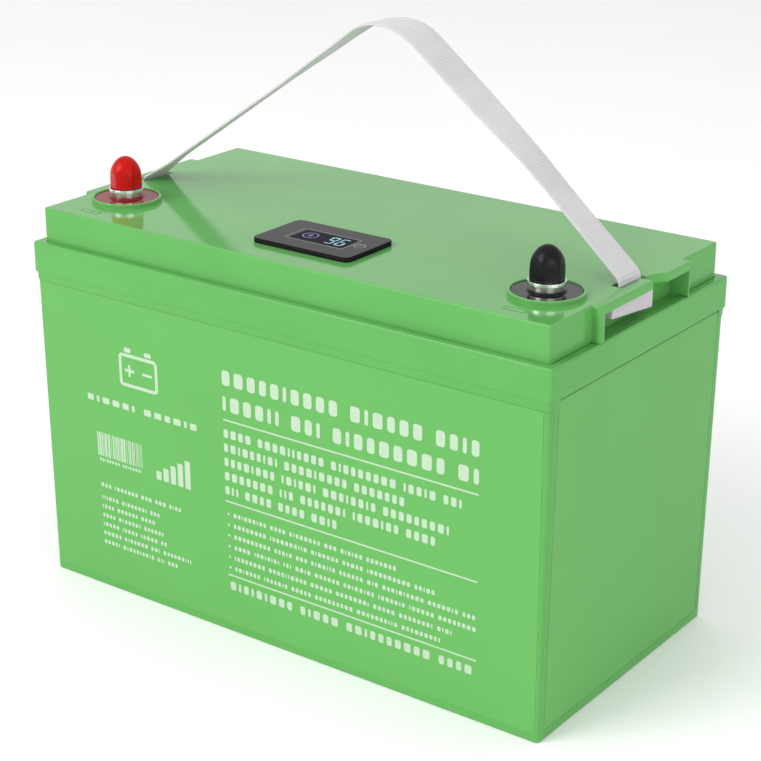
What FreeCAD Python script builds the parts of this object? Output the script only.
"""Deep cycle lithium battery: a bonded plastic case with strap handle, two capped M8
terminals, a small charge display, four cells and a battery management board.

Frame: +X along the length towards the negative terminal, -Y is the labelled front, +Z up.
The origin is the middle of the base. Lengths are millimetres.
"""
import FreeCAD, Part
import math
import os

import Sketcher
from FreeCAD import Placement, Rotation, Vector

os.makedirs("parts", exist_ok=True)

# ---------------------------------------------------------------- driving dimensions
dims = {
    # case
    "case_length": 330.0, "case_width": 172.0, "case_corner": 1.8,
    "rim_low": 179.8, "rim_top": 196.5, "chamfer_low": 175.0, "chamfer_angle": 5.8,
    "body_foot_length": 325.2, "body_foot_width": 166.8, "body_foot_corner": 2.0, "draft_angle": 0.6,
    "chamfer_length": 329.0, "chamfer_width": 170.7, "chamfer_corner": 3.2,
    "floor_thick": 3.5, "foot_round": 1.0, "rim_round": 1.2,
    "cavity_length": 316.0, "cavity_width": 158.0, "cavity_corner": 2.0,
    "rebate_length": 321.3, "rebate_width": 162.8, "rebate_corner": 2.5, "rebate_floor": 191.5,
    "panel_low": 5.0, "panel_top": 179.8, "panel_margin": 5.0, "panel_deep": 0.4, "panel_clear": 2.0,
    "film_low": 5.3, "film_top": 179.5, "film_margin": 5.3, "film_thick": 0.35,
    "label_low": 5.0, "label_top": 174.6, "label_margin": 2.0, "label_thick": 0.15,
    # lid
    "lid_length": 320.3, "lid_width": 161.8, "lid_corner": 1.6, "lid_top": 215.0,
    "lid_foot": 192.5, "pocket_floor": 196.0, "plate_thick": 3.5,
    "lid_round": 1.0, "seal_length": 317.5, "seal_width": 159.0, "seal_corner": 1.0,
    "hollow_length": 302.0, "hollow_width": 154.0, "hollow_corner": 2.0,
    "flank_length": 312.5, "flank_width": 29.5, "flank_y": 62.25,
    # handle blocks at the ends of the lid
    "block_width": 89.0, "block_corner": 2.0, "block_low": 196.7, "pocket_back": 154.0, "pocket_near": 40.5,
    "pocket_far": 42.0, "lip_low": 210.5,
    "slot_inner": 152.6, "slot_outer": 158.8, "slot_near": 14.5, "strip_end": 4.5,
    "notch_far_inner": 8.5, "notch_far_outer": 21.0, "lip_outer": 166.0, "notch_bulge": 0.1,
    # terminals
    "terminal_x": 134.4, "terminal_y": 43.2, "collar_outer": 19.0, "collar_inner": 17.4,
    "collar_high": 2.5, "collar_round": 0.6, "post_bore": 6.1, "disc_radius": 17.2, "disc_thick": 1.8,
    "hub_foot": 9.8, "hub_tip": 8.8, "hub_top": 3.0, "barrel_radius": 8.0, "barrel_high": 2.6,
    "shank_radius": 6.0, "shank_foot": 196.0, "stud_bore": 3.63, "stud_grip": 3.6, "stud_radius": 4.0,
    "stud_foot": 208.0, "stud_top": 235.5, "stud_chamfer": 0.8, "washer_radius": 9.4, "washer_bore": 4.3,
    "washer_thick": 1.8, "nut_flats": 13.0, "nut_high": 6.5, "cap_lift": 0.3,
    "cap_flats": 15.5, "cap_corner": 8.8, "cap_hex_high": 9.0, "cap_high": 16.8,
    "dome_radius": 7.7, "cap_socket_flats": 13.5, "cap_socket_high": 6.9, "cap_bore": 5.0,
    "cap_bore_high": 14.2, "seal_ring_outer": 9.0, "seal_ring_thick": 2.0,
    "lock_nut_flats": 19.0, "lock_nut_high": 5.0,
    # display
    "display_x": 0.2, "display_y": -42.4, "display_length": 61.6, "display_width": 39.8,
    "display_corner": 3.8, "bezel_thick": 1.7, "cover_thick": 0.9, "skirt_length": 57.4,
    "skirt_width": 33.4, "skirt_corner": 2.0, "skirt_low": 206.5, "well_length": 53.8, "well_width": 29.8,
    "display_hole_length": 58.0, "display_hole_width": 34.0, "display_hole_corner": 2.3,
    "window_x": 1.5, "window_y": -42.8, "window_length": 33.0, "window_width": 15.5,
    "window_corner": 1.0, "key_x": 23.5, "key_y": -42.0, "key_radius": 2.2, "key_bore": 2.35,
    "key_low": 212.3, "key_top": 217.75, "key_collar": 3.0, "key_collar_low": 212.7, "key_collar_high": 0.9,
    "cover_round": 0.3, "glass_over": 2.0, "glass_thick": 1.6, "circuit_width": 27.3, "circuit_low": 208.7,
    "switch_side": 6.0, "switch_high": 1.4, "socket_x": -14.7, "socket_length": 8.0, "socket_width": 5.0,
    "socket_low": 206.7, "socket_high": 2.0,
    # strap handle
    "strap_width": 20.0, "strap_thick": 1.5, "strap_foot_x": 156.4, "strap_turn": -1.13,
    "left_rise": 34.3, "right_rise": 40.6, "crown_x": 13.6, "crown_z": 331.2, "crown_round": 36.0,
    "sag_x": 100.0, "sag_z": 265.8, "sag_round": 150.0, "foot_bend": 7.0, "strap_step": 6.0,
    "hinge_z": 216.0, "knuckle": 19.0,
    "knuckle_gap": 0.3, "stop_thick": 7.4, "stop_top": 210.5, "stop_x": 158.2, "stop_round": 0.9,
    "stop_near": 24.0, "stop_near_low": 203.1, "stop_far": 14.0, "stop_far_low": 199.3,
    # cells and pack
    "cell_thick": 50.0, "cell_width": 155.5, "cell_high": 118.0, "spacer_thick": 1.0,
    "pad_thick": 5.0, "end_plate_thick": 5.0, "cell_post_y": 60.0, "cell_post_radius": 8.0,
    "cell_post_high": 2.0, "cell_stud_radius": 3.0, "cell_stud_high": 10.5, "bar_width": 18.0,
    "bar_thick": 2.0, "bar_bore": 3.1, "bar_nut_flats": 10.0, "bar_nut_high": 5.0,
    "band_wide": 16.0, "band_thick": 0.8, "band_lower": 0.25, "band_upper": 0.75, "foam_length": 50.5,
    "pad_length": 310.0, "pad_width": 154.0, "cell_round": 3.0, "spacer_width": 151.5, "tab_length": 22.0,
    # management board
    "tray_length": 130.0, "tray_width": 140.0, "tray_thick": 2.0, "tray_low": 141.0,
    "board_length": 110.0, "board_width": 90.0, "board_thick": 1.6, "sink_length": 78.0,
    "sink_width": 46.0, "sink_high": 14.0, "lug_thick": 2.0, "lug_bore": 3.1,
    "lug_barrel": 4.5, "lug_axis": 4.7, "lug_neck": 9.5, "lug_barrel_long": 15.0, "cable_radius": 4.0,
    "display_lead_radius": 1.6, "pole_x": 41.0, "pole_y": 24.0, "sink_x": -19.0, "sink_base": 4.0,
    "fin_thick": 2.0, "fin_pitch": 8.0, "tray_x": -5.0, "stand_radius": 4.0, "stand_left": -60.0,
    "stand_right": 44.0, "stand_y": 35.0, "pole_pad": 16.0, "pole_pad_high": 2.0, "shunt_x": 28.0,
    "shunt_length": 8.0, "shunt_width": 30.0, "shunt_high": 4.0, "lug_plate": 17.0, "lug_width": 13.0,
    "lead_x": -17.7, "lead_y": -37.0,
}
dims["collar_top"] = dims["lid_top"] + dims["collar_high"]
dims["barrel_foot"] = dims["lid_top"] + dims["hub_top"]
dims["washer_foot"] = dims["barrel_foot"] + dims["barrel_high"]
dims["nut_foot"] = dims["washer_foot"] + dims["washer_thick"]
dims["nut_top"] = dims["nut_foot"] + dims["nut_high"]
dims["cap_foot"] = dims["nut_foot"] + dims["cap_lift"]
dims["plate_low"] = dims["lid_top"] - dims["plate_thick"]
dims["cover_low"] = dims["lid_top"] + dims["bezel_thick"]
dims["cell_foot"] = dims["floor_thick"] + dims["pad_thick"]
dims["cell_top"] = dims["cell_foot"] + dims["cell_high"]
dims["cell_pitch"] = dims["cell_thick"] + dims["spacer_thick"]
dims["bar_low"] = dims["cell_top"] + dims["cell_post_high"]
dims["bar_top"] = dims["bar_low"] + dims["bar_thick"]
dims["tray_top"] = dims["tray_low"] + dims["tray_thick"]
dims["pack_half"] = 2 * dims["cell_pitch"] - dims["spacer_thick"] / 2 + dims["end_plate_thick"]

doc = FreeCAD.newDocument("deep_cycle_battery")
sheet = doc.addObject("Spreadsheet::Sheet", "dims")
for row, (word, amount) in enumerate(dims.items(), start=1):
    sheet.set(f"A{row}", word)
    sheet.set(f"B{row}", str(round(amount, 4)))
    sheet.setAlias(f"B{row}", word)
doc.recompute()

# turn of the webbing about its own length, in degrees, at shares of the strap's length
strap_twist = [(0.0, 0.0), (0.08, 10.0), (0.3, 10.5), (0.43, 5.0), (0.5, 0.0), (0.57, 9.0),
               (0.66, 8.5), (0.85, -2.5), (1.0, 0.0)]

# bends of each cable between its two fixed ends
cable_bends = {
    "positive": [(-123.0, -60.0, 135.2), (-134.4, -52.0, 156.5), (-134.4, -43.2, 174.5)],
    "pack": [(118.0, -60.0, 135.2), (121.0, -42.0, 148.6), (103.0, -27.0, 153.3), (79.5, -24.0, 151.3)],
    "negative": [(91.5, 24.0, 151.3), (116.0, 6.0, 158.0), (128.0, -22.0, 166.0), (134.4, -43.2, 178.0)],
    "display": [(-14.7, -42.4, 188.0), (-18.7, -41.0, 170.0), (-17.7, -37.0, 156.6)],
}

nodes = {}


def keep(node, thing):
    """Name a finished sub-part after its node."""
    thing.Label = node
    nodes[node] = thing
    return thing


def number(cell):
    """The value of a signed cell name such as -slot_near."""
    return -dims[cell[1:]] if cell.startswith("-") else dims[cell]


def formula(cell):
    """The same signed cell name as an expression."""
    return "-dims." + cell[1:] if cell.startswith("-") else "dims." + cell


# ---------------------------------------------------------------- sketches and features
def new_body(name):
    return doc.addObject("PartDesign::Body", "body_" + name)


def new_sketch(body, name, role="XY_Plane", **offset):
    """A sketch on one of the body's origin planes, shifted by expressions along x, y or z."""
    sketch = body.newObject("Sketcher::SketchObject", name)
    plane = next(item for item in body.Origin.OriginFeatures if item.Role == role)
    sketch.AttachmentSupport = [(plane, "")]
    sketch.MapMode = "FlatFace"
    for axis, expression in offset.items():
        sketch.setExpression(f"AttachmentOffset.Base.{axis}", expression)
    return sketch


def drive(sketch, *constraint, cell):
    """Add a dimension to the sketch and bind it to a cell of the sheet."""
    index = sketch.addConstraint(Sketcher.Constraint(*constraint, number(cell)))
    sketch.setExpression(f"Constraints[{index}]", formula(cell))


def rounded_rectangle(sketch, length, width, corner):
    """A rectangle with round corners, centred on the sketch's origin."""
    half_x, half_y, radius = dims[length] / 2, dims[width] / 2, dims[corner]
    in_x, in_y = half_x - radius, half_y - radius
    first = sketch.GeometryCount
    turns = [(in_x, -in_y), (in_x, in_y), (-in_x, in_y), (-in_x, -in_y)]
    starts = [(-in_x, -half_y), (half_x, -in_y), (in_x, half_y), (-half_x, in_y)]
    ends = [(in_x, -half_y), (half_x, in_y), (-in_x, half_y), (-half_x, -in_y)]
    for side in range(4):
        line = Part.LineSegment(Vector(*starts[side], 0), Vector(*ends[side], 0))
        sketch.addGeometry(line)
        circle = Part.Circle(Vector(*turns[side], 0), Vector(0, 0, 1), radius)
        begin = math.radians(270 + 90 * side)
        sketch.addGeometry(Part.ArcOfCircle(circle, begin, begin + math.pi / 2))
    for step in range(8):
        here, after = first + step, first + (step + 1) % 8
        sketch.addConstraint(Sketcher.Constraint("Tangent", here, 2, after, 1))
    for side in range(4):
        kind = "Horizontal" if side % 2 == 0 else "Vertical"
        sketch.addConstraint(Sketcher.Constraint(kind, first + 2 * side))
    for side in range(1, 4):
        sketch.addConstraint(Sketcher.Constraint("Equal", first + 1, first + 1 + 2 * side))
    drive(sketch, "Radius", first + 1, cell=corner)
    drive(sketch, "DistanceX", first + 6, 1, first + 2, 1, cell=length)
    drive(sketch, "DistanceY", first, 1, first + 4, 1, cell=width)
    sketch.addConstraint(Sketcher.Constraint("Symmetric", first, 1, first + 4, 1, -1, 1))


def circle(sketch, x, y, radius):
    """A circle whose centre and radius are cells."""
    middle = Vector(number(x), number(y), 0)
    index = sketch.addGeometry(Part.Circle(middle, Vector(0, 0, 1), dims[radius]))
    drive(sketch, "DistanceX", index, 3, cell=x)
    drive(sketch, "DistanceY", index, 3, cell=y)
    drive(sketch, "Radius", index, cell=radius)


def outline(sketch, corners, bulge=None):
    """A closed polygon whose corners are pairs of signed cells; one side may be a shallow arc."""
    points = [Vector(number(x), number(y), 0) for x, y in corners]
    count = len(points)
    ends = []
    for step in range(count):
        here, after = points[step], points[(step + 1) % count]
        if step == bulge:
            across = (after - here).cross(Vector(0, 0, 1)).normalize()
            middle = (here + after) / 2 + across * (after - here).Length * dims["notch_bulge"]
            sketch.addGeometry(Part.Arc(here, middle, after))
        else:
            sketch.addGeometry(Part.LineSegment(here, after))
        forward = sketch.getPoint(step, 1).distanceToPoint(here) < 0.001
        ends.append((1, 2) if forward else (2, 1))
    for step, (x, y) in enumerate(corners):
        last = (step - 1) % count
        sketch.addConstraint(Sketcher.Constraint("Coincident", last, ends[last][1], step, ends[step][0]))
        drive(sketch, "DistanceX", step, ends[step][0], cell=x)
        drive(sketch, "DistanceY", step, ends[step][0], cell=y)


def pad(body, sketch, length, reverse=False):
    feature = body.newObject("PartDesign::Pad", "pad_" + sketch.Name)
    feature.Profile = sketch
    feature.setExpression("Length", length)
    feature.Reversed = reverse
    doc.recompute()
    return feature


def pocket(body, sketch, length, reverse=False):
    """Cut a pocket and make sure that it takes material away."""
    doc.recompute()
    before = body.Shape.Volume
    feature = body.newObject("PartDesign::Pocket", "pocket_" + sketch.Name)
    feature.Profile = sketch
    feature.setExpression("Length", length)
    feature.Reversed = reverse
    doc.recompute()
    assert body.Shape.Volume < before - 0.1, sketch.Name
    return feature


def repeat(body, kind, name, features, direction, occurrences=2):
    """Mirror features in a plane, or turn them about an axis, of the body's own origin."""
    reference = next(item for item in body.Origin.OriginFeatures if item.Role == direction)
    pattern = body.newObject("PartDesign::" + kind, name)
    pattern.Originals = features
    if kind == "Mirrored":
        pattern.MirrorPlane = (reference, [""])
    else:
        pattern.Axis = (reference, [""])
        pattern.Angle = 360.0
        pattern.Occurrences = occurrences
    body.Tip = pattern
    doc.recompute()
    return pattern


def round_edges(body, name, radius, chosen):
    """Fillet the edges of the body's tip that the test picks out."""
    doc.recompute()
    tip = body.Tip
    edges = [f"Edge{i}" for i, edge in enumerate(tip.Shape.Edges, start=1) if chosen(edge)]
    feature = body.newObject("PartDesign::Fillet", name)
    feature.Base = (tip, edges)
    feature.setExpression("Radius", radius)
    doc.recompute()
    return feature


def flat_at(edge, height, slack=0.01):
    box = edge.BoundBox
    return abs(box.ZMin - height) < slack and abs(box.ZMax - height) < slack


def on_outline(edge, length, width, corner):
    """Whether the edge's middle lies on a rounded rectangle about the Z axis."""
    middle = edge.valueAt((edge.FirstParameter + edge.LastParameter) / 2)
    x = abs(middle.x) - dims[length] / 2 + dims[corner]
    y = abs(middle.y) - dims[width] / 2 + dims[corner]
    gap = math.hypot(max(x, 0), max(y, 0)) + min(max(x, y), 0) - dims[corner]
    return abs(gap) < 0.05


# ---------------------------------------------------------------- primitives and booleans
def place(thing, x="0", y="0", z="0", turn=None):
    for axis, expression in zip("xyz", (x, y, z)):
        thing.setExpression(f"Placement.Base.{axis}", expression)
    if turn:
        thing.Placement = Placement(thing.Placement.Base, Rotation(Vector(0, 0, 1), turn))
    return thing


def box(name, length, width, high, x="0", y="0", z="0"):
    """A block centred on x and y that stands on z; every argument is an expression."""
    thing = doc.addObject("Part::Box", name)
    thing.setExpression("Length", length)
    thing.setExpression("Width", width)
    thing.setExpression("Height", high)
    return place(thing, f"{x} - ({length}) / 2", f"{y} - ({width}) / 2", z)


def cylinder(name, radius, high, x="0", y="0", z="0"):
    thing = doc.addObject("Part::Cylinder", name)
    thing.setExpression("Radius", radius)
    thing.setExpression("Height", high)
    return place(thing, x, y, z)


def hexagon(name, flats, high, x="0", y="0", z="0", turn=0.0):
    """A hexagonal prism of the given width across flats."""
    thing = doc.addObject("Part::Prism", name)
    thing.Polygon = 6
    thing.setExpression("Circumradius", f"({flats}) / 1.7320508")
    thing.setExpression("Height", high)
    return place(thing, x, y, z, turn)


def cut(name, base, tool):
    thing = doc.addObject("Part::Cut", name)
    thing.Base, thing.Tool = base, tool
    return thing


def fuse(name, shapes):
    thing = doc.addObject("Part::MultiFuse", name)
    thing.Shapes = shapes
    return thing


def common(name, shapes):
    thing = doc.addObject("Part::MultiCommon", name)
    thing.Shapes = shapes
    return thing


def shaped(node, shape, placement=None):
    """A sub-part whose shape is made by Part's own functions."""
    thing = doc.addObject("Part::Feature", "shape_" + node)
    thing.Shape = shape
    if placement:
        thing.Placement = placement
    return keep(node, thing)


# ---------------------------------------------------------------- swept shapes
def smooth_path(points, radii=None):
    """Straight runs joined by tangent arcs; without radii each arc is as large as fits."""
    points = [Vector(*point) for point in points]
    edges, start = [], points[0]
    for i in range(1, len(points) - 1):
        before, here, after = points[i - 1], points[i], points[i + 1]
        back = (before - here).normalize()
        ahead = (after - here).normalize()
        half_turn = (math.pi - back.getAngle(ahead)) / 2
        shorter = min((before - here).Length, (after - here).Length)
        reach = radii[i - 1] * math.tan(half_turn) if radii else 0.45 * shorter
        radius = reach / math.tan(half_turn)
        bisector = (back + ahead).normalize()
        centre = here + bisector * (radius / math.cos(half_turn))
        enter, leave = here + back * reach, here + ahead * reach
        edges.append(Part.LineSegment(start, enter).toShape())
        edges.append(Part.Arc(enter, centre - bisector * radius, leave).toShape())
        start = leave
    edges.append(Part.LineSegment(start, points[-1]).toShape())
    return Part.Wire(edges)


def tube(points, radius):
    """A round cable along a smooth path; its volume must be its section times its length."""
    path = smooth_path(points)
    direction = Vector(*points[1]) - Vector(*points[0])
    ring = Part.Wire(Part.makeCircle(radius, Vector(*points[0]), direction))
    solid = path.makePipeShell([ring], True, False)
    ratio = solid.Volume / (math.pi * radius**2 * path.Length)
    assert abs(ratio - 1) < 0.01, ratio
    print("cable", round(path.Length, 1), "mm long, volume ratio", round(ratio, 4))
    return solid


# ---------------------------------------------------------------- case
def panel_sketch(body, name, role, along, across, piece, outward="0"):
    """A rectangle on one wall of the case, in a plane that follows the wall's draft."""
    sketch = new_sketch(body, name, role)
    sketch.AttachmentOffset = Placement(Vector(0, 0, 0), Rotation(Vector(1, 0, 0), dims["draft_angle"]))
    sketch.setExpression("AttachmentOffset.Base.z", f"dims.{across} / 2 + ({outward})")
    half = dims[along] / 2 - dims[piece + "_margin"]
    low, top = dims[piece + "_low"], dims[piece + "_top"]
    corners = [Vector(-half, low, 0), Vector(half, low, 0), Vector(half, top, 0), Vector(-half, top, 0)]
    for step in range(4):
        sketch.addGeometry(Part.LineSegment(corners[step], corners[(step + 1) % 4]))
    for step in range(4):
        after = (step + 1) % 4
        sketch.addConstraint(Sketcher.Constraint("Coincident", step, 2, after, 1))
    for side, kind in ((1, "Vertical"), (2, "Horizontal"), (3, "Vertical")):
        sketch.addConstraint(Sketcher.Constraint(kind, side))
    drive(sketch, "DistanceY", -1, 1, 0, 1, cell=piece + "_low")
    drive(sketch, "DistanceY", -1, 1, 2, 1, cell=piece + "_top")
    index = sketch.addConstraint(Sketcher.Constraint("DistanceX", 0, 1, 0, 2, 2 * half))
    sketch.setExpression(f"Constraints[{index}]", f"dims.{along} - 2 * dims.{piece}_margin")
    sketch.addConstraint(Sketcher.Constraint("Symmetric", 0, 1, 0, 2, -2))
    return sketch


def make_case():
    """Tub: tapered body, rim on a chamfer with a rebate for the lid, a shallow panel at each end."""
    body = new_body("case")
    foot = new_sketch(body, "case_foot")
    rounded_rectangle(foot, "body_foot_length", "body_foot_width", "body_foot_corner")
    wall = pad(body, foot, "dims.chamfer_low")
    wall.setExpression("TaperAngle", "dims.draft_angle")
    round_edges(body, "case_foot_round", "dims.foot_round", lambda edge: flat_at(edge, 0.0))

    chamfer = new_sketch(body, "case_chamfer", z="dims.chamfer_low")
    rounded_rectangle(chamfer, "chamfer_length", "chamfer_width", "chamfer_corner")
    slope = pad(body, chamfer, "dims.rim_low - dims.chamfer_low")
    slope.setExpression("TaperAngle", "dims.chamfer_angle")
    rim = new_sketch(body, "case_rim", z="dims.rim_low")
    rounded_rectangle(rim, "case_length", "case_width", "case_corner")
    pad(body, rim, "dims.rim_top - dims.rim_low")
    round_edges(body, "case_rim_round", "dims.rim_round",
                lambda edge: on_outline(edge, "case_length", "case_width", "case_corner")
                and flat_at(edge, dims["rim_top"]))

    cavity = new_sketch(body, "case_cavity", z="dims.rim_top")
    rounded_rectangle(cavity, "cavity_length", "cavity_width", "cavity_corner")
    pocket(body, cavity, "dims.rim_top - dims.floor_thick")
    rebate = new_sketch(body, "case_rebate", z="dims.rim_top")
    rounded_rectangle(rebate, "rebate_length", "rebate_width", "rebate_corner")
    pocket(body, rebate, "dims.rim_top - dims.rebate_floor")

    end = panel_sketch(body, "end_panel", "YZ_Plane", "body_foot_width", "body_foot_length",
                       "panel", outward="dims.panel_clear")
    end_cut = pocket(body, end, "dims.panel_clear + dims.panel_deep")
    repeat(body, "Mirrored", "other_end_panel", [end_cut], "YZ_Plane")
    keep("case", body)


def make_films():
    """Printed film on the front wall and a plain film in the panel at each end."""
    body = new_body("label_front")
    sketch = panel_sketch(body, "label_outline", "XZ_Plane", "body_foot_length", "body_foot_width", "label")
    pad(body, sketch, "dims.label_thick")
    keep("label_front", body)
    for side, turn in (("right", 0.0), ("left", 180.0)):
        body = new_body("film_" + side)
        sketch = panel_sketch(body, f"film_{side}_outline", "YZ_Plane", "body_foot_width",
                              "body_foot_length", "film", outward="-dims.panel_deep")
        pad(body, sketch, "dims.film_thick")
        body.Placement = Placement(Vector(0, 0, 0), Rotation(Vector(0, 0, 1), turn))
        keep("film_" + side, body)


# ---------------------------------------------------------------- lid
def make_lid():
    """Lid whose walls stand in the rim's rebate, hollow below, with a strap pocket at each end."""
    body = new_body("lid")
    tower = new_sketch(body, "lid_tower", z="dims.lid_foot")
    rounded_rectangle(tower, "lid_length", "lid_width", "lid_corner")
    pad(body, tower, "dims.lid_top - dims.lid_foot")
    blocks = new_sketch(body, "lid_blocks", z="dims.block_low")
    rounded_rectangle(blocks, "case_length", "block_width", "block_corner")
    pad(body, blocks, "dims.lid_top - dims.block_low")
    round_edges(body, "lid_round_top", "dims.lid_round", lambda edge: flat_at(edge, dims["lid_top"]))

    middle = new_sketch(body, "lid_hollow", z="dims.lid_foot")
    rounded_rectangle(middle, "hollow_length", "hollow_width", "hollow_corner")
    pocket(body, middle, "dims.plate_low - dims.lid_foot", reverse=True)
    flank = new_sketch(body, "lid_flank", z="dims.lid_foot", y="dims.flank_y")
    rounded_rectangle(flank, "flank_length", "flank_width", "hollow_corner")
    flank_cut = pocket(body, flank, "dims.plate_low - dims.lid_foot", reverse=True)
    repeat(body, "Mirrored", "lid_other_flank", [flank_cut], "XZ_Plane")

    recess = new_sketch(body, "strap_recess", z="dims.pocket_floor")
    outline(recess, [("pocket_back", "-pocket_near"), ("lip_outer", "-pocket_near"),
                     ("lip_outer", "pocket_far"), ("pocket_back", "pocket_far")])
    recess_cut = pocket(body, recess, "dims.lip_low - dims.pocket_floor", reverse=True)
    slot = new_sketch(body, "strap_slot", z="dims.lip_low")
    outline(slot, [("slot_inner", "-slot_near"), ("slot_outer", "-slot_near"),
                   ("slot_outer", "strip_end"), ("lip_outer", "strip_end"),
                   ("lip_outer", "notch_far_outer"), ("slot_outer", "notch_far_inner"),
                   ("slot_inner", "notch_far_inner")], bulge=4)
    slot_cut = pocket(body, slot, "dims.lid_top - dims.lip_low", reverse=True)
    repeat(body, "PolarPattern", "both_ends", [recess_cut, slot_cut], "Z_Axis")

    collar = new_sketch(body, "collar", z="dims.lid_top")
    circle(collar, "terminal_x", "-terminal_y", "collar_outer")
    circle(collar, "terminal_x", "-terminal_y", "collar_inner")
    collar_pad = pad(body, collar, "dims.collar_high")
    bore = new_sketch(body, "post_hole", z="dims.lid_top")
    circle(bore, "terminal_x", "-terminal_y", "post_bore")
    bore_cut = pocket(body, bore, "dims.plate_thick")
    repeat(body, "Mirrored", "both_terminals", [collar_pad, bore_cut], "YZ_Plane")

    hole = new_sketch(body, "display_hole", z="dims.lid_top", x="dims.display_x", y="dims.display_y")
    rounded_rectangle(hole, "display_hole_length", "display_hole_width", "display_hole_corner")
    pocket(body, hole, "dims.plate_thick")
    round_edges(body, "collar_round", "dims.collar_round", lambda edge: flat_at(edge, dims["collar_top"]))
    keep("lid", body)


def make_seal():
    """Adhesive bead under the lid's walls, in the case's rebate."""
    body = new_body("lid_seal")
    sketch = new_sketch(body, "seal_ring", z="dims.rebate_floor")
    rounded_rectangle(sketch, "lid_length", "lid_width", "lid_corner")
    rounded_rectangle(sketch, "seal_length", "seal_width", "seal_corner")
    pad(body, sketch, "dims.lid_foot - dims.rebate_floor")
    keep("lid_seal", body)


# ---------------------------------------------------------------- terminals
def ring(name, outer, inner, high, x, y, z):
    return cut(name, cylinder(name + "_disc", outer, high, x, y, z),
               cylinder(name + "_bore", inner, high, x, y, z))


def make_terminal(sign_name, side, turn):
    """One M8 terminal: coloured disc, post, stud, washer, nut and pull-off cap."""
    x, y = f"{side} * dims.terminal_x", "-dims.terminal_y"

    hub = doc.addObject("Part::Cone", sign_name + "_hub")
    hub.setExpression("Radius1", "dims.hub_foot")
    hub.setExpression("Radius2", "dims.hub_tip")
    hub.setExpression("Height", "dims.hub_top - dims.disc_thick")
    place(hub, x, y, "dims.lid_top + dims.disc_thick")
    plate = cylinder(sign_name + "_plate", "dims.disc_radius", "dims.disc_thick",
                     x, y, "dims.lid_top")
    disc_bore = cylinder(sign_name + "_disc_bore", "dims.post_bore", "dims.hub_top",
                         x, y, "dims.lid_top")
    whole = fuse(sign_name + "_disc_whole", [plate, hub])
    keep(sign_name + "_disc", cut(sign_name + "_disc_cut", whole, disc_bore))

    barrel = cylinder(sign_name + "_barrel", "dims.barrel_radius", "dims.barrel_high",
                      x, y, "dims.barrel_foot")
    shank = cylinder(sign_name + "_shank", "dims.shank_radius", "dims.barrel_foot - dims.shank_foot",
                     x, y, "dims.shank_foot")
    tapped = cylinder(sign_name + "_tapped", "dims.stud_bore", "dims.washer_foot - dims.stud_foot",
                      x, y, "dims.stud_foot")
    solid = fuse(sign_name + "_post_whole", [barrel, shank])
    keep(sign_name + "_post", cut(sign_name + "_post_cut", solid, tapped))

    # the stud has its thread's pitch radius where the post and the nut grip it, and its full
    # radius on the free end above the nut
    gripped = cylinder(sign_name + "_stud_gripped", "dims.stud_grip", "dims.nut_top - dims.stud_foot",
                       x, y, "dims.stud_foot")
    free_end = cylinder(sign_name + "_stud_free", "dims.stud_radius", "dims.stud_top - dims.nut_top",
                        x, y, "dims.nut_top")
    stud = fuse(sign_name + "_stud_rod", [gripped, free_end])
    rounded = doc.addObject("Part::Chamfer", sign_name + "_stud_chamfer")
    rounded.Base = stud
    doc.recompute()
    top = [i for i, edge in enumerate(stud.Shape.Edges, start=1) if flat_at(edge, dims["stud_top"])]
    rounded.Edges = [(i, dims["stud_chamfer"], dims["stud_chamfer"]) for i in top]
    keep(sign_name + "_stud", rounded)

    keep(sign_name + "_washer", ring(sign_name + "_flat", "dims.washer_radius", "dims.washer_bore",
                                     "dims.washer_thick", x, y, "dims.washer_foot"))
    nut = hexagon(sign_name + "_nut_hex", "dims.nut_flats", "dims.nut_high", x, y, "dims.nut_foot", turn)
    nut_bore = cylinder(sign_name + "_nut_bore", "dims.stud_bore", "dims.nut_high", x, y, "dims.nut_foot")
    keep(sign_name + "_nut", cut(sign_name + "_nut_cut", nut, nut_bore))

    prism = hexagon(sign_name + "_cap_hex", "dims.cap_flats", "dims.cap_hex_high",
                    x, y, "dims.cap_foot", turn)
    corners = cylinder(sign_name + "_cap_corner", "dims.cap_corner", "dims.cap_hex_high",
                       x, y, "dims.cap_foot")
    grip = common(sign_name + "_cap_grip", [prism, corners])
    dome = doc.addObject("Part::Ellipsoid", sign_name + "_cap_dome")
    dome.setExpression("Radius1", "dims.cap_high - dims.cap_hex_high")
    dome.setExpression("Radius2", "dims.dome_radius")
    dome.setExpression("Radius3", "dims.dome_radius")
    dome.Angle1 = 0.0
    place(dome, x, y, "dims.cap_foot + dims.cap_hex_high")
    socket = hexagon(sign_name + "_cap_socket", "dims.cap_socket_flats", "dims.cap_socket_high",
                     x, y, "dims.cap_foot", turn)
    well = cylinder(sign_name + "_cap_well", "dims.cap_bore", "dims.cap_bore_high", x, y, "dims.cap_foot")
    outer = fuse(sign_name + "_cap_outer", [grip, dome])
    inner = fuse(sign_name + "_cap_inner", [socket, well])
    keep(sign_name + "_cap", cut(sign_name + "_cap_cut", outer, inner))


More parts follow.
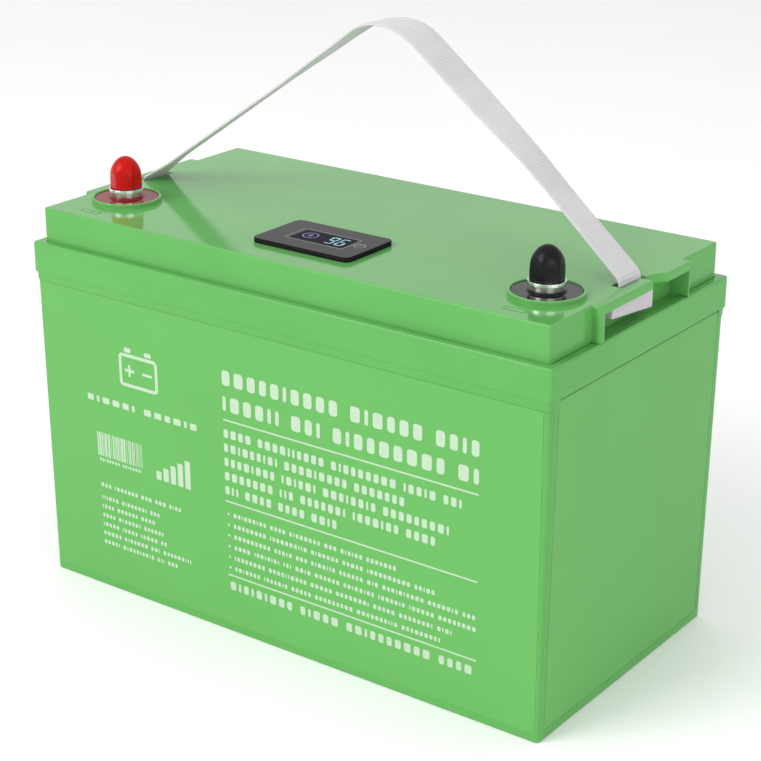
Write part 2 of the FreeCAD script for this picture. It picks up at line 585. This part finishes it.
def make_terminal_fixings():
    """Sealing rings and lock nuts under the lid, one pair for each post."""
    rings, nuts = [], []
    for name, side in (("left", "-1"), ("right", "1")):
        x, y = f"{side} * dims.terminal_x", "-dims.terminal_y"
        rings.append(ring(f"{name}_seal", "dims.seal_ring_outer", "dims.post_bore",
                          "dims.seal_ring_thick", x, y, "dims.plate_low - dims.seal_ring_thick"))
        low = "dims.plate_low - dims.seal_ring_thick - dims.lock_nut_high"
        hexed = hexagon(f"{name}_lock_hex", "dims.lock_nut_flats", "dims.lock_nut_high", x, y, low)
        bore = cylinder(f"{name}_lock_bore", "dims.post_bore", "dims.lock_nut_high", x, y, low)
        nuts.append(cut(f"{name}_lock_nut", hexed, bore))
    keep("post_seals", fuse("both_seals", rings))
    keep("post_lock_nuts", fuse("both_lock_nuts", nuts))


# ---------------------------------------------------------------- display
def make_display():
    """Snap-in charge display: bezel with a skirt, dark cover, screen, board and one key."""
    body = new_body("display_bezel")
    face = new_sketch(body, "bezel_face", z="dims.lid_top", x="dims.display_x", y="dims.display_y")
    rounded_rectangle(face, "display_length", "display_width", "display_corner")
    pad(body, face, "dims.bezel_thick")
    skirt = new_sketch(body, "bezel_skirt", z="dims.lid_top", x="dims.display_x", y="dims.display_y")
    rounded_rectangle(skirt, "skirt_length", "skirt_width", "skirt_corner")
    pad(body, skirt, "dims.lid_top - dims.skirt_low", reverse=True)
    well = new_sketch(body, "bezel_well", z="dims.skirt_low", x="dims.display_x", y="dims.display_y")
    rounded_rectangle(well, "well_length", "well_width", "window_corner")
    pocket(body, well, "dims.lid_top - dims.skirt_low", reverse=True)
    window = new_sketch(body, "bezel_window", z="dims.cover_low", x="dims.window_x", y="dims.window_y")
    rounded_rectangle(window, "window_length", "window_width", "window_corner")
    pocket(body, window, "dims.bezel_thick")
    key_hole = new_sketch(body, "bezel_key_hole", z="dims.cover_low")
    circle(key_hole, "key_x", "key_y", "key_bore")
    pocket(body, key_hole, "dims.bezel_thick")
    keep("display_bezel", body)

    cover = new_body("display_cover")
    face = new_sketch(cover, "cover_face", z="dims.cover_low", x="dims.display_x", y="dims.display_y")
    rounded_rectangle(face, "display_length", "display_width", "display_corner")
    pad(cover, face, "dims.cover_thick")
    cover_top = dims["cover_low"] + dims["cover_thick"]
    round_edges(cover, "cover_round", "dims.cover_round", lambda edge: flat_at(edge, cover_top))
    key_hole = new_sketch(cover, "cover_key_hole", z="dims.cover_low + dims.cover_thick")
    circle(key_hole, "key_x", "key_y", "key_bore")
    pocket(cover, key_hole, "dims.cover_thick")
    keep("display_cover", cover)

    screen = box("screen_glass", "dims.window_length + 2 * dims.glass_over",
                 "dims.window_width + 2 * dims.glass_over", "dims.glass_thick",
                 "dims.window_x", "dims.window_y", "dims.lid_top - dims.glass_thick")
    keep("display_screen", screen)
    board = box("display_circuit", "dims.well_length", "dims.circuit_width", "dims.board_thick",
                "dims.display_x", "dims.display_y", "dims.circuit_low")
    switch = box("display_switch", "dims.switch_side", "dims.switch_side", "dims.switch_high",
                 "dims.key_x", "dims.key_y", "dims.circuit_low + dims.board_thick")
    socket = box("display_socket", "dims.socket_length", "dims.socket_width", "dims.socket_high",
                 "dims.socket_x", "dims.display_y", "dims.socket_low")
    keep("display_board", fuse("display_board_whole", [board, switch, socket]))

    stem = cylinder("key_stem", "dims.key_radius", "dims.key_top - dims.key_low",
                    "dims.key_x", "dims.key_y", "dims.key_low")
    collar = cylinder("key_collar", "dims.key_collar", "dims.key_collar_high",
                      "dims.key_x", "dims.key_y", "dims.key_collar_low")
    keep("display_key", fuse("key_whole", [stem, collar]))


# ---------------------------------------------------------------- strap handle
def strap_points():
    """Middle line of the strap in its own XZ plane, from the left stop to the right stop."""
    foot = dims["strap_foot_x"]
    left = math.tan(math.radians(dims["left_rise"]))
    right = math.tan(math.radians(dims["right_rise"]))
    crown, sag = (dims["crown_x"], 0, dims["crown_z"]), (dims["sag_x"], 0, dims["sag_z"])
    left_z = crown[2] - left * (crown[0] + foot)
    right_z = sag[2] - right * (foot - sag[0])
    return [(-foot, 0, dims["stop_top"]), (-foot, 0, left_z), crown, sag,
            (foot, 0, right_z), (foot, 0, dims["stop_top"])]


def twist_at(share):
    """The webbing's turn in radians, eased from one entry of the table to the next."""
    for (low, before), (high, after) in zip(strap_twist, strap_twist[1:]):
        if share <= high:
            part_way = (share - low) / (high - low)
            eased = (1 - math.cos(math.pi * part_way)) / 2
            return math.radians(before + (after - before) * eased)
    return 0.0


def webbing(path):
    """A flat strap along the path that turns about its own length as the table says."""
    across, half_wide, half_thick = Vector(0, 1, 0), dims["strap_width"] / 2, dims["strap_thick"] / 2
    sections, gone = [], 0.0
    for edge in path.Edges:
        steps = max(4, round(edge.Length / dims["strap_step"]))
        last = edge.isSame(path.Edges[-1])
        for step in range(steps + 1 if last else steps):
            part_way = step / steps
            at = edge.FirstParameter + (edge.LastParameter - edge.FirstParameter) * part_way
            middle, along = edge.valueAt(at), edge.tangentAt(at)
            turn = twist_at(min((gone + edge.Length * part_way) / path.Length, 1.0))
            up = along.cross(across)
            wide = (across * math.cos(turn) + up * math.sin(turn)) * half_wide
            thick = (up * math.cos(turn) - across * math.sin(turn)) * half_thick
            corners = [middle + wide * side + thick * face
                       for side, face in ((-1, -1), (1, -1), (1, 1), (-1, 1), (-1, -1))]
            sections.append(Part.makePolygon(corners))
        gone += edge.Length
    solid = Part.makeLoft(sections, True, False)
    ratio = solid.Volume / (dims["strap_width"] * dims["strap_thick"] * path.Length)
    assert abs(ratio - 1) < 0.01, ratio
    print("strap", round(path.Length, 1), "mm between its stops, volume ratio", round(ratio, 4))
    return solid


def make_strap():
    """Webbing handle in three lengths: a short end through each slot and the swinging arch."""
    rounds = [dims["foot_bend"], dims["crown_round"], dims["sag_round"], dims["foot_bend"]]
    whole = webbing(smooth_path(strap_points(), rounds))
    reach = dims["case_length"]
    axis_foot = Vector(-reach / 2, 0, dims["hinge_z"])
    along = Vector(1, 0, 0)
    knuckle = Part.makeCylinder(dims["knuckle"], reach, axis_foot, along)
    inner = Part.makeCylinder(dims["knuckle"] - dims["knuckle_gap"], reach, axis_foot, along)
    turned = Placement(Vector(0, 0, 0), Rotation(Vector(0, 0, 1), dims["strap_turn"]))
    shaped("handle_strap", whole.cut(knuckle).Solids[0], turned)
    ends = sorted(whole.common(inner).Solids, key=lambda solid: solid.CenterOfMass.x)
    for name, solid in zip(("left", "right"), ends):
        shaped("strap_end_" + name, solid, turned)


def make_stop(name, turn):
    """Moulded bar on the strap's end that bears on the underside of the lip, deeper at one end."""
    body = new_body("strap_stop_" + name)
    sketch = new_sketch(body, "stop_" + name, "YZ_Plane", z="dims.stop_x - dims.stop_thick / 2")
    outline(sketch, [("-stop_near", "stop_near_low"), ("stop_far", "stop_far_low"),
                     ("stop_far", "stop_top"), ("-stop_near", "stop_top")])
    pad(body, sketch, "dims.stop_thick")
    round_edges(body, "stop_round_" + name, "dims.stop_round",
                lambda edge: not flat_at(edge, dims["stop_top"]))
    body.Placement = Placement(Vector(0, 0, 0), Rotation(Vector(0, 0, 1), turn + dims["strap_turn"]))
    keep("strap_stop_" + name, body)


# ---------------------------------------------------------------- cells
def make_pack():
    """Four prismatic cells between end plates, banded together on a base pad."""
    keep("base_pad", box("pad_block", "dims.pad_length", "dims.pad_width", "dims.pad_thick",
                         z="dims.floor_thick"))
    posts = []
    for i in range(4):
        x = f"{i - 1.5} * dims.cell_pitch"
        cell = box(f"cell_block_{i + 1}", "dims.cell_thick", "dims.cell_width", "dims.cell_high",
                   x, z="dims.cell_foot")
        rounded = doc.addObject("Part::Fillet", f"cell_rounded_{i + 1}")
        rounded.Base = cell
        doc.recompute()
        upright = [n for n, edge in enumerate(cell.Shape.Edges, start=1) if edge.BoundBox.ZLength > 1]
        rounded.Edges = [(n, dims["cell_round"], dims["cell_round"]) for n in upright]
        keep(f"cell_{i + 1}", rounded)
        for side in ("-1", "1"):
            y = f"{side} * dims.cell_post_y"
            tag = f"{i}{'a' if side == '-1' else 'b'}"
            posts.append(cylinder("post" + tag, "dims.cell_post_radius", "dims.cell_post_high",
                                  x, y, "dims.cell_top"))
            posts.append(cylinder("stud" + tag, "dims.cell_stud_radius",
                                  "dims.cell_post_high + dims.cell_stud_high", x, y, "dims.cell_top"))
    keep("cell_posts", fuse("all_cell_posts", posts))
    for i in range(3):
        keep(f"spacer_{i + 1}", box(f"spacer_sheet_{i + 1}", "dims.spacer_thick", "dims.spacer_width",
                                    "dims.cell_high", f"{i - 1} * dims.cell_pitch", z="dims.cell_foot"))
    for name, side in (("left", "-1"), ("right", "1")):
        x = f"{side} * (dims.pack_half - dims.end_plate_thick / 2)"
        keep(f"end_plate_{name}", box(f"plate_{name}", "dims.end_plate_thick", "dims.cell_width",
                                      "dims.cell_high", x, z="dims.cell_foot"))
        x = f"{side} * (dims.pack_half + dims.band_thick + dims.foam_length / 2)"
        keep(f"foam_{name}", box(f"foam_block_{name}", "dims.foam_length", "dims.cell_width",
                                 "dims.cell_high", x, z="dims.cell_foot"))
    for name in ("lower", "upper"):
        low = f"dims.cell_foot + dims.band_{name} * dims.cell_high - dims.band_wide / 2"
        outer = box(f"band_outer_{name}", "2 * (dims.pack_half + dims.band_thick)",
                    "dims.cell_width + 2 * dims.band_thick", "dims.band_wide", z=low)
        inner = box(f"band_inner_{name}", "2 * dims.pack_half", "dims.cell_width", "dims.band_wide", z=low)
        keep(f"pack_band_{name}", cut(f"band_cut_{name}", outer, inner))


def make_bars():
    """Series links between neighbouring cells, end tabs and the nuts on the cell studs."""
    links = [("busbar_1", -1, 1.0), ("busbar_2", 0, -1.0), ("busbar_3", 1, 1.0)]
    for node, place_x, side in links:
        plate = box(node + "_plate", "dims.cell_pitch + dims.bar_width", "dims.bar_width", "dims.bar_thick",
                    f"{place_x} * dims.cell_pitch", f"{side} * dims.cell_post_y", "dims.bar_low")
        holes = [cylinder(f"{node}_hole_{half}", "dims.bar_bore", "dims.bar_thick",
                          f"({place_x} + {half}) * dims.cell_pitch", f"{side} * dims.cell_post_y",
                          "dims.bar_low") for half in (-0.5, 0.5)]
        keep(node, cut(node + "_cut", plate, fuse(node + "_holes", holes)))
    for node, place_x in (("tab_positive", -1.5), ("tab_negative", 1.5)):
        x = f"{place_x} * dims.cell_pitch"
        plate = box(node + "_plate", "dims.tab_length", "dims.bar_width", "dims.bar_thick",
                    x, "-dims.cell_post_y", "dims.bar_low")
        hole = cylinder(node + "_hole", "dims.bar_bore", "dims.bar_thick",
                        x, "-dims.cell_post_y", "dims.bar_low")
        keep(node, cut(node + "_cut", plate, hole))
    nuts = []
    for i in range(4):
        for side in (-1.0, 1.0):
            lugged = side < 0 and i in (0, 3)
            low = "dims.bar_top + dims.lug_thick" if lugged else "dims.bar_top"
            x, y = f"{i - 1.5} * dims.cell_pitch", f"{side} * dims.cell_post_y"
            tag = f"{i}{'a' if side < 0 else 'b'}"
            hexed = hexagon("bar_nut" + tag, "dims.bar_nut_flats", "dims.bar_nut_high", x, y, low)
            bore = cylinder("bar_nut_bore" + tag, "dims.bar_bore", "dims.bar_nut_high", x, y, low)
            nuts.append(cut("bar_nut_cut" + tag, hexed, bore))
    keep("busbar_nuts", fuse("all_bar_nuts", nuts))


# ---------------------------------------------------------------- management board
def make_management():
    """Board with its heat sink on an insulating tray that stands on the cells."""
    stands = [cylinder(f"stand_{end}_{half}", "dims.stand_radius", "dims.tray_low - dims.cell_top",
                       "dims.stand_" + end, f"{side} * dims.stand_y", "dims.cell_top")
              for end in ("left", "right") for half, side in (("near", "-1"), ("far", "1"))]
    keep("bms_standoffs", fuse("all_stands", stands))
    keep("bms_tray", box("tray_sheet", "dims.tray_length", "dims.tray_width", "dims.tray_thick",
                         "dims.tray_x", z="dims.tray_low"))
    sheet_board = box("board_sheet", "dims.board_length", "dims.board_width", "dims.board_thick",
                      "dims.tray_x", z="dims.tray_top")
    low = "dims.tray_top + dims.board_thick"
    pads = [box(f"board_pad_{half}", "dims.pole_pad", "dims.pole_pad", "dims.pole_pad_high",
                "dims.pole_x", f"{side} * dims.pole_y", low) for half, side in (("near", "-1"), ("far", "1"))]
    shunt = box("board_shunt", "dims.shunt_length", "dims.shunt_width", "dims.shunt_high",
                "dims.shunt_x", "0", low)
    keep("bms_board", fuse("board_whole", [sheet_board, shunt] + pads))
    fins = [box(f"fin_{n}", "dims.sink_length", "dims.fin_thick", "dims.sink_high",
                "dims.sink_x", f"{n - 2.5} * dims.fin_pitch", low) for n in range(6)]
    base = box("sink_foot", "dims.sink_length", "dims.sink_width", "dims.sink_base", "dims.sink_x", "0", low)
    keep("bms_heatsink", fuse("sink_whole", [base] + fins))


def lug(foot, direction):
    """Ring lug: a drilled plate on its foot point and a crimp barrel along the direction."""
    thick, bore = dims["lug_thick"], dims["lug_bore"]
    barrel, long_side = dims["lug_barrel"], dims["lug_barrel_long"]
    wide = dims["lug_width"]
    plate = Part.makeBox(dims["lug_plate"], wide, thick, Vector(-wide / 2, -wide / 2, 0))
    plate = plate.cut(Part.makeCylinder(bore, thick))
    foot_of_barrel = Vector(dims["lug_neck"], 0, dims["lug_axis"])
    crimp = Part.makeCylinder(barrel, long_side, foot_of_barrel, Vector(1, 0, 0))
    whole = plate.fuse(crimp)
    whole.rotate(Vector(0, 0, 0), Vector(0, 0, 1), direction)
    whole.translate(Vector(*foot))
    return whole


def make_cables():
    """Lugs and the heavy cables from the cells through the board to the posts."""
    stud_x, stud_y = 1.5 * dims["cell_pitch"], dims["cell_post_y"]
    lug_end = dims["lug_neck"] + dims["lug_barrel_long"]
    cable, rise, low = dims["cable_radius"], dims["lug_axis"], dims["bar_top"]
    pole_x, pole_y = dims["pole_x"], dims["pole_y"]
    board_top = dims["tray_top"] + dims["board_thick"]
    pad_top = board_top + dims["pole_pad_high"]
    post_x, post_y, post_z = dims["terminal_x"], -dims["terminal_y"], dims["shank_foot"]
    lugs = [lug((-stud_x, -stud_y, low), 180.0), lug((stud_x, -stud_y, low), 0.0),
            lug((pole_x, -pole_y, pad_top), 0.0), lug((pole_x, pole_y, pad_top), 0.0)]
    shaped("cable_lugs", Part.makeCompound(lugs))
    from_cells, from_poles = stud_x + lug_end, pole_x + lug_end
    shaped("positive_cable", tube([(-from_cells, -stud_y, low + rise), *cable_bends["positive"],
                                   (-post_x, post_y, post_z)], cable))
    shaped("pack_cable", tube([(from_cells, -stud_y, low + rise), *cable_bends["pack"],
                               (from_poles, -pole_y, pad_top + rise)], cable))
    shaped("negative_cable", tube([(from_poles, pole_y, pad_top + rise), *cable_bends["negative"],
                                   (post_x, post_y, post_z)], cable))
    shaped("display_cable", tube([(dims["socket_x"], dims["display_y"], dims["socket_low"]),
                                  *cable_bends["display"], (dims["lead_x"], dims["lead_y"], board_top)],
                                 dims["display_lead_radius"]))


make_case()
make_films()
make_lid()
make_seal()
make_terminal("positive", "-1", -24.0)
make_terminal("negative", "1", -18.0)
make_terminal_fixings()
make_display()
make_strap()
make_stop("left", 180.0)
make_stop("right", 0.0)
make_pack()
make_bars()
make_management()
make_cables()
doc.recompute()

# ---------------------------------------------------------------- check and write
for thing in doc.Objects:
    faults = [word for word in thing.State if word in ("Invalid", "Error")]
    assert not faults, (thing.Name, thing.Label, thing.State)
for node, thing in nodes.items():
    shape = thing.Shape
    assert not shape.isNull() and shape.isValid() and shape.Volume > 0, node
    shape.exportStep(f"parts/{node}.step")
    print(f"{node:20s} solids {len(shape.Solids)}  volume {shape.Volume / 1000:.2f} cm3")
print(len(nodes), "nodes")
